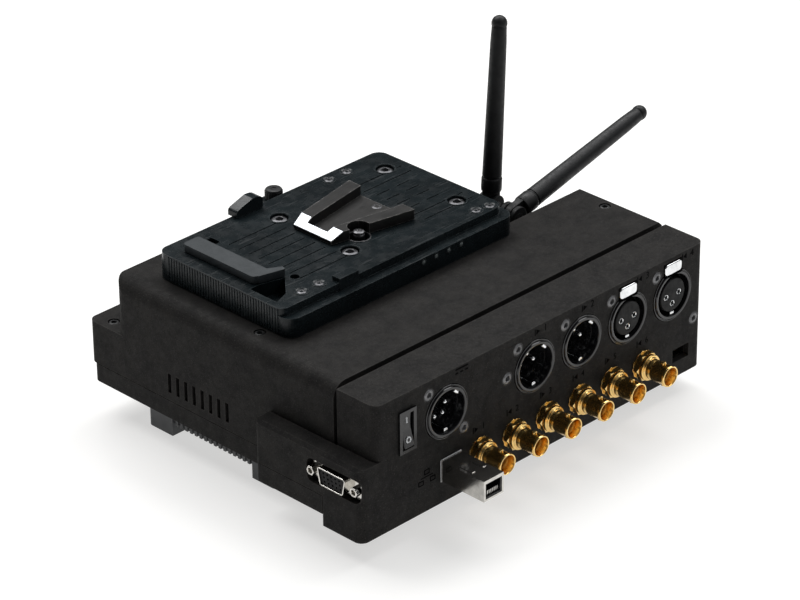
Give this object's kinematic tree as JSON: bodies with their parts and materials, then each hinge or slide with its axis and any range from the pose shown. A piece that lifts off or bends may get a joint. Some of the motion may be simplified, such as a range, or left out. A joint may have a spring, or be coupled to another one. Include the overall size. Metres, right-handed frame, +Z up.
{
  "type": "wireless receiver unit",
  "caption": "Wireless audio receiver in a printed nylon case: connector panel in front, sliding-battery plate on top, foot plate below and hinged whip antennas in a rear notch.",
  "frame": {"origin": "centre of the foot plate's underside, on the surface that the unit stands on", "axes": "+X along the connector panel towards its right end, -Y out of the connector panel, +Z up"},
  "size_m": [0.2607, 0.2005, 0.1568],
  "materials": {
    "nylon": "grainy sintered nylon",
    "plate_black": "satin moulded",
    "foot_grey": "fine texture",
    "dark_metal": "worn black anodised",
    "steel": "zinc plated",
    "gold": "gold plated",
    "nickel": "nickel plated",
    "connector_black": "satin",
    "antenna_black": "satin moulded",
    "board_green": "solder mask"
  },
  "bodies": {
    "case": {"connector_housing": "nylon", "main_casing": "nylon", "base_cover": "nylon", "foot_plate": "foot_grey", "foot_wedge": "steel", "plate_screw_1": "steel", "plate_screw_2": "steel", "plate_screw_3": "steel", "plate_screw_4": "steel", "panel_screw_1": "steel", "panel_screw_2": "steel", "panel_screw_3": "steel", "panel_screw_4": "steel", "panel_screw_5": "steel", "panel_screw_6": "steel", "panel_screw_7": "steel", "panel_screw_8": "steel", "battery_plate": "plate_black", "contact_block": "plate_black", "stop_knob": "plate_black", "battery_shoe": "dark_metal", "casing_screw_1": "dark_metal", "casing_screw_2": "dark_metal", "casing_screw_3": "dark_metal", "power_inlet": "connector_black", "output_plug_1": "connector_black", "output_plug_2": "connector_black", "input_socket_1": "connector_black", "input_socket_2": "connector_black", "rocker_bezel": "connector_black", "network_jack": "nickel", "usb_socket": "nickel", "data_connector": "nickel", "receiver_module": "nickel", "coax_jack_1": "gold", "coax_jack_2": "gold", "coax_jack_3": "gold", "coax_jack_4": "gold", "coax_jack_5": "gold", "coax_jack_6": "gold", "coax_nut_1": "gold", "coax_nut_2": "gold", "coax_nut_3": "gold", "coax_nut_4": "gold", "coax_nut_5": "gold", "coax_nut_6": "gold", "antenna_jack_1": "gold", "antenna_jack_2": "gold", "main_board": "board_green", "power_board": "board_green"},
    "rocker": {"rocker": "connector_black"},
    "latch_1": {"latch_tab_1": "nickel"},
    "latch_2": {"latch_tab_2": "nickel"},
    "release_lever": {"release_lever": "plate_black"},
    "lock_pin": {"lock_pin": "steel"},
    "antenna_1_base": {"antenna_base_1": "antenna_black"},
    "antenna_1_whip": {"antenna_whip_1": "antenna_black"},
    "antenna_2_base": {"antenna_base_2": "antenna_black"},
    "antenna_2_whip": {"antenna_whip_2": "antenna_black"}
  },
  "joints": [
    {"name": "rocker_tilt", "type": "hinge", "parent": "case", "child": "rocker", "pos_m": [-0.058, -0.1063, 0.0532], "axis": [1, 0, 0], "range_deg": [0, 14]},
    {"name": "latch_1_press", "type": "slide", "parent": "case", "child": "latch_1", "axis": [0, 1, 0], "range_m": [0, 0.0015], "stiffness_N_per_m": 300},
    {"name": "latch_2_press", "type": "slide", "parent": "case", "child": "latch_2", "axis": [0, 1, 0], "range_m": [0, 0.0015], "stiffness_N_per_m": 300},
    {"name": "release_slide", "type": "slide", "parent": "case", "child": "release_lever", "axis": [1, 0, 0], "range_m": [0, 0.004], "stiffness_N_per_m": 400},
    {"name": "lock_pin_slide", "type": "slide", "parent": "case", "child": "lock_pin", "axis": [0, 0, -1], "range_m": [0, 0.0035]},
    {"name": "antenna_1_swivel", "type": "hinge", "parent": "case", "child": "antenna_1_base", "pos_m": [0.0905, -0.0138, 0.06], "axis": [0, 0, 1], "range_deg": [0, 90]},
    {"name": "antenna_1_knuckle", "type": "hinge", "parent": "antenna_1_base", "child": "antenna_1_whip", "pos_m": [0.0905, -0.0138, 0.0685], "axis": [0, 1, 0], "range_deg": [-3.5, 81.5]},
    {"name": "antenna_2_swivel", "type": "hinge", "parent": "case", "child": "antenna_2_base", "pos_m": [0.0892, -0.0285, 0.06], "axis": [0, 0, 1], "range_deg": [-6, 4]},
    {"name": "antenna_2_knuckle", "type": "hinge", "parent": "antenna_2_base", "child": "antenna_2_whip", "pos_m": [0.0892, -0.0285, 0.0685], "axis": [0, 1, 0], "range_deg": [-76.2, 8.8]}
  ],
  "couplings": [
    {"joint": "lock_pin_slide", "follows": "release_slide", "ratio": 0.875}
  ]
}
